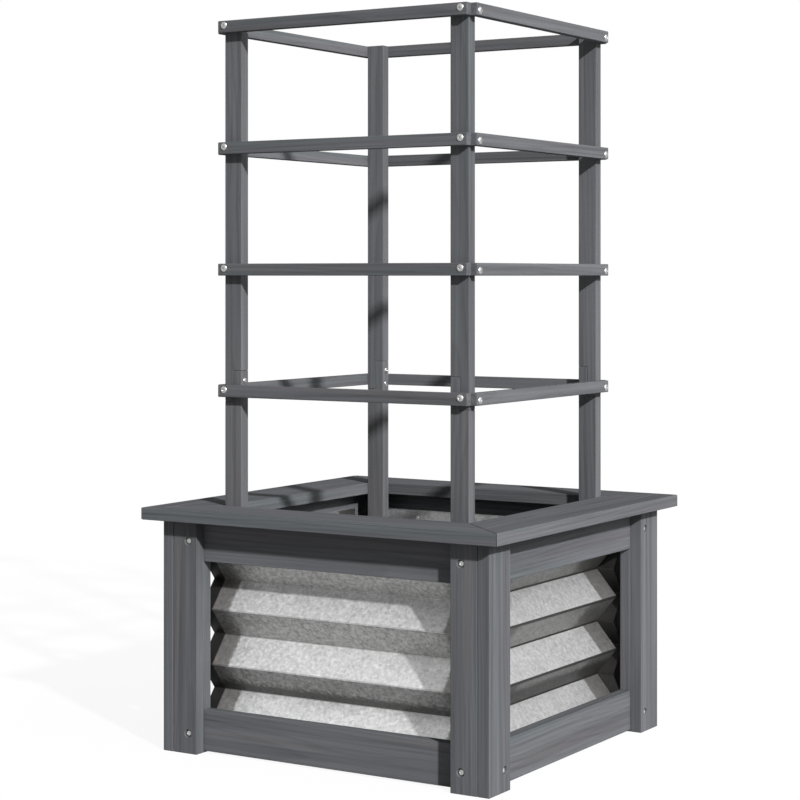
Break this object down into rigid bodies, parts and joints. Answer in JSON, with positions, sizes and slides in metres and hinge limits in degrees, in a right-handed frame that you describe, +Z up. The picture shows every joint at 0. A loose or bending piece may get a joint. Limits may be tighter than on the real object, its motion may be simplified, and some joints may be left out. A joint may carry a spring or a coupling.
{
  "type": "planter with trellis",
  "caption": "Square raised planter of stained boards with V-folded metal side panels, a mitred rim and a tall open square trellis standing inside it.",
  "frame": {"origin": "on the ground, under the middle of the plan", "axes": "+Z up; the front looks along -Y; +X to the viewer's right when facing the front; every side of the square plan is parallel to X or Y"},
  "size_m": [0.6, 0.6, 1.089],
  "materials": {
    "box_timber": "grey stain over fine straight grain",
    "trellis_timber": "grey stain over fine straight grain",
    "galvanised_sheet": "zinc coated, satin, faint spangle",
    "screw_steel": "zinc plated, semi-bright",
    "beech": "unfinished"
  },
  "bodies": {
    "root": {"back_bottom_rail": "box_timber", "back_folded_panel": "galvanised_sheet", "back_left_corner_stiles": "box_timber", "back_left_leg_face_board": "box_timber", "back_left_leg_side_board": "box_timber", "back_left_lower_post": "trellis_timber", "back_left_upper_post": "trellis_timber", "back_right_corner_stiles": "box_timber", "back_right_leg_face_board": "box_timber", "back_right_leg_side_board": "box_timber", "back_right_lower_post": "trellis_timber", "back_right_upper_post": "trellis_timber", "back_rim_board": "box_timber", "back_top_rail": "box_timber", "back_trellis_bar_1": "trellis_timber", "back_trellis_bar_2": "trellis_timber", "back_trellis_bar_3": "trellis_timber", "back_trellis_bar_4": "trellis_timber", "bar_screws": "screw_steel", "dowels": "beech", "front_bottom_rail": "box_timber", "front_folded_panel": "galvanised_sheet", "front_left_corner_stiles": "box_timber", "front_left_leg_face_board": "box_timber", "front_left_leg_side_board": "box_timber", "front_left_lower_post": "trellis_timber", "front_left_upper_post": "trellis_timber", "front_right_corner_stiles": "box_timber", "front_right_leg_face_board": "box_timber", "front_right_leg_side_board": "box_timber", "front_right_lower_post": "trellis_timber", "front_right_upper_post": "trellis_timber", "front_rim_board": "box_timber", "front_top_rail": "box_timber", "front_trellis_bar_1": "trellis_timber", "front_trellis_bar_2": "trellis_timber", "front_trellis_bar_3": "trellis_timber", "front_trellis_bar_4": "trellis_timber", "left_bottom_rail": "box_timber", "left_folded_panel": "galvanised_sheet", "left_rim_board": "box_timber", "left_top_rail": "box_timber", "left_trellis_bar_1": "trellis_timber", "left_trellis_bar_2": "trellis_timber", "left_trellis_bar_3": "trellis_timber", "left_trellis_bar_4": "trellis_timber", "leg_screws": "screw_steel", "panel_screws": "screw_steel", "post_blocks": "trellis_timber", "post_foot_screws": "screw_steel", "right_bottom_rail": "box_timber", "right_folded_panel": "galvanised_sheet", "right_rim_board": "box_timber", "right_top_rail": "box_timber", "right_trellis_bar_1": "trellis_timber", "right_trellis_bar_2": "trellis_timber", "right_trellis_bar_3": "trellis_timber", "right_trellis_bar_4": "trellis_timber", "splice_screws": "screw_steel"}
  },
  "joints": []
}
